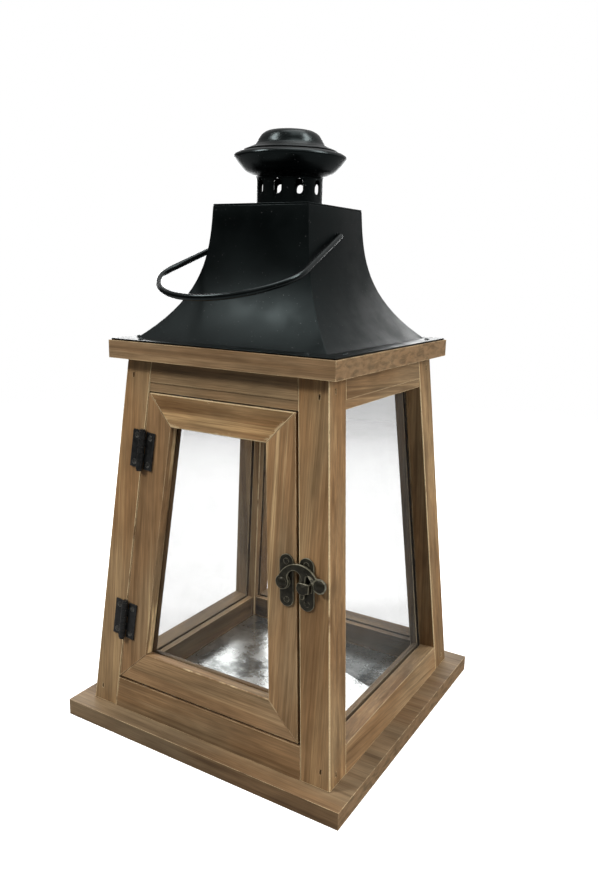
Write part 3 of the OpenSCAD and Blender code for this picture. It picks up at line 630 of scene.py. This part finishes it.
def tube(points, radius, sides=20):
    """A round wire along the points, closed at both ends."""
    bm = bmesh.new()
    rings = []
    side = None
    for i, point in enumerate(points):
        ahead = points[min(i + 1, len(points) - 1)] - points[max(i - 1, 0)]
        ahead.normalize()
        side = side or Z.cross(ahead).normalized()
        side = (side - ahead * side.dot(ahead)).normalized()
        up = ahead.cross(side)
        angles = [2 * math.pi * k / sides for k in range(sides)]
        rings.append([bm.verts.new(point + radius * (math.cos(t) * side + math.sin(t) * up)) for t in angles])
    for a, b in zip(rings, rings[1:]):
        for k in range(sides):
            bm.faces.new((a[k], a[(k + 1) % sides], b[(k + 1) % sides], b[k]))
    bm.faces.new(reversed(rings[0]))
    bm.faces.new(rings[-1])
    return bm


def bail_line():
    """Half of the bail's middle line, in its own plane, from the inner end of the pin to the far bend."""
    leg_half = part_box("roof_top_plate")[1].x + 3.2 * MM
    splay = math.radians(8.4)
    leg, side_r, far_r, bend_r, pin = (v * MM for v in (56, 27, 45.2, 1.9, 5))
    out = Vector((math.sin(splay), math.cos(splay)))
    cut = bend_r * math.tan((math.pi / 2 - splay) / 2)
    foot = Vector((leg_half, 0))
    end = foot + leg * out
    side_c = end + side_r * Vector((-math.cos(splay), math.sin(splay)))
    drop = math.sqrt((far_r - side_r) ** 2 - side_c.x ** 2)
    far_c = Vector((0, side_c.y - drop))
    span = math.atan2(drop, side_c.x)
    line = [Vector((leg_half - cut - pin, 0)), Vector((leg_half - cut, 0))]
    bend_c = Vector((leg_half - cut, bend_r))

    def arc(c, r, a0, a1, n):
        return [c + r * Vector((math.cos(a0 + (a1 - a0) * i / n), math.sin(a0 + (a1 - a0) * i / n)))
                for i in range(1, n + 1)]

    line += arc(bend_c, bend_r, -math.pi / 2, -splay, 8)
    line += [foot + (cut + (leg - cut) * i / 10) * out for i in range(1, 11)]
    line += arc(side_c, side_r, -splay, span, 24)
    line += arc(far_c, far_r, span, math.pi / 2, 16)
    return line


def bail():
    """The wire bail at its stored pose, with the heads that hold it in the roof's holes."""
    radius = 1.7 * MM
    half_line = bail_line()
    line = half_line + [Vector((-p.x, p.y)) for p in reversed(half_line[:-1])]
    pivot = Vector(JOINTS["bail_swing"]["pos_m"])
    low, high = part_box("bail_handle")
    # The far bend is the bail's lowest and foremost place, which gives the angle it rests at; the drawn
    # line has to reach exactly that far
    reach = max(p.y for p in line)
    tilt = math.atan2(pivot.z - (low.z + radius), pivot.y - (low.y + radius))
    away = Vector((0, -math.cos(tilt), -math.sin(tilt)))
    assert abs(reach * math.sin(tilt) - (pivot.z - low.z - radius)) < 1 * MM
    points = [pivot + X * p.x + away * p.y for p in line]
    bm = tube(points, radius)
    # A small round head on the inner end of each pin
    half_thick, head_radius = X * 0.5 * MM, radius + 0.6 * MM
    for end, outward in ((points[0], half_thick), (points[-1], -half_thick)):
        head = tube([end + outward, end - outward], head_radius)
        mesh = bpy.data.meshes.new("bail_head")
        head.to_mesh(mesh)
        head.free()
        bm.from_mesh(mesh)
        bpy.data.meshes.remove(mesh)
    bmesh.ops.recalc_face_normals(bm, faces=bm.faces)
    new_piece("look_bail_handle", bm, "bail_handle", [bail_black], 50)


bail()

# ---------------------------------------------------------------- floor, light and camera

def studio():
    """A white floor that fades into a white backdrop, a dim room, and soft lamps."""
    bm = bmesh.new()
    bmesh.ops.create_grid(bm, x_segments=2, y_segments=2, size=FLOOR_REACH)
    mesh = bpy.data.meshes.new("floor")
    bm.to_mesh(mesh)
    bm.free()
    floor = bpy.data.objects.new("floor", mesh)
    floor.location.z = cad_bounds[0][2] - 0.05 * MM
    bpy.context.scene.collection.objects.link(floor)
    net = Net("floor_white")
    paper = net.noise(net.position(), scale=40.0, detail=3.0)
    # Seen directly it is white paper; as a source of bounced light it is kept low
    direct = net.tree.nodes.new("ShaderNodeLightPath").outputs["Is Camera Ray"]
    white = net.ramp(paper, (0.3, (0.90, 0.90, 0.90)), (0.7, (0.94, 0.94, 0.94)))
    net.set(Base_Color=net.mix(direct, FLOOR_BOUNCE, white), Roughness=0.9, Emission_Color=WHITE,
            Emission_Strength=net.math("MULTIPLY", direct, FLOOR_FILL))
    # The floor fades into the white backdrop before its far edge
    length = net.tree.nodes.new("ShaderNodeVectorMath")
    length.operation = "LENGTH"
    net.put(length.inputs[0], net.position())
    net.set(Alpha=net.span(length.outputs["Value"], FADE_START, FADE_END, 1.0, 0.0))
    mesh.materials.append(net.mat)

    world = bpy.data.worlds.new("studio")
    world.use_nodes = True
    tree = world.node_tree
    back = tree.nodes["Background"]

    def between(value, low, high, out_low, out_high):
        node = tree.nodes.new("ShaderNodeMapRange")
        node.interpolation_type = "SMOOTHSTEP"
        tree.links.new(value, node.inputs[0])
        for i, number in enumerate((low, high, out_low, out_high), start=1):
            node.inputs[i].default_value = number
        return node.outputs[0]

    # The camera sees a white backdrop; the room that lights the lantern is dim, brighter overhead and behind
    way = tree.nodes.new("ShaderNodeSeparateXYZ")
    tree.links.new(tree.nodes.new("ShaderNodeTexCoord").outputs["Generated"], way.inputs[0])
    room = tree.nodes.new("ShaderNodeMath")
    room.operation = "ADD"
    tree.links.new(between(way.outputs["Z"], 0.15, 0.95, ROOM_LOW, ROOM_TOP), room.inputs[0])
    tree.links.new(between(way.outputs["Y"], 0.0, 0.95, 0.0, ROOM_BACK), room.inputs[1])
    seen = tree.nodes.new("ShaderNodeLightPath")
    strength = tree.nodes.new("ShaderNodeMix")
    tree.links.new(seen.outputs["Is Camera Ray"], strength.inputs[0])
    tree.links.new(room.outputs[0], strength.inputs[2])
    strength.inputs[3].default_value = 1.0
    back.inputs["Color"].default_value = (*WHITE, 1.0)
    tree.links.new(strength.outputs[0], back.inputs["Strength"])
    bpy.context.scene.world = world
    bpy.context.scene.view_settings.view_transform = "Standard"

    def softbox(name, place, size, power, reflected=True, lighting=True):
        light = bpy.data.lights.new(name, "AREA")
        light.shape = "RECTANGLE"
        light.size, light.size_y = size
        light.energy = power
        lamp = bpy.data.objects.new(name, light)
        lamp.location = place
        aim = LAMP_TARGET - Vector(place)
        lamp.rotation_euler = aim.to_track_quat("-Z", "Y").to_euler()
        lamp.visible_camera = False
        lamp.visible_glossy = reflected
        lamp.visible_diffuse = lighting
        bpy.context.scene.collection.objects.link(lamp)

    softbox("key", (-1.0, -1.0, 1.2), (0.3, 0.3), 21, reflected=False)
    softbox("fill", (1.5, -0.2, 0.8), (0.7, 0.9), 20, reflected=False)
    softbox("glint_left", (-0.75, -0.55, 1.6), (0.35, 0.5), 9)
    softbox("glint_right", (0.83, 0.43, 1.6), (0.35, 0.5), 8)
    softbox("overhead", (0.1, 0.25, 1.6), (0.9, 0.9), 6)
    # A low card behind the lantern that only shows in reflections, as the bright patch on the floor sheet
    softbox("low_card", (-0.42, 0.62, 0.27), (1.0, 0.5), 9, lighting=False)


def camera():
    """A camera a little over the lantern's height, off its front right corner."""
    yaw, pitch, roll = (math.radians(a) for a in CAMERA_TURN)
    ahead = Vector((-math.sin(yaw) * math.cos(pitch), math.cos(yaw) * math.cos(pitch), -math.sin(pitch)))
    right = Vector((math.cos(yaw), math.sin(yaw), 0))
    up = right.cross(ahead)
    right, up = (math.cos(roll) * right + math.sin(roll) * up, -math.sin(roll) * right + math.cos(roll) * up)
    data = bpy.data.cameras.new("camera")
    data.lens = CAMERA_LENS
    data.sensor_width = CAMERA_SENSOR
    eye = bpy.data.objects.new("camera", data)
    turn = Matrix((right, up, -ahead)).transposed().to_4x4()
    eye.matrix_world = Matrix.Translation(CAMERA_PLACE) @ turn
    bpy.context.scene.collection.objects.link(eye)
    bpy.context.scene.camera = eye


studio()
camera()
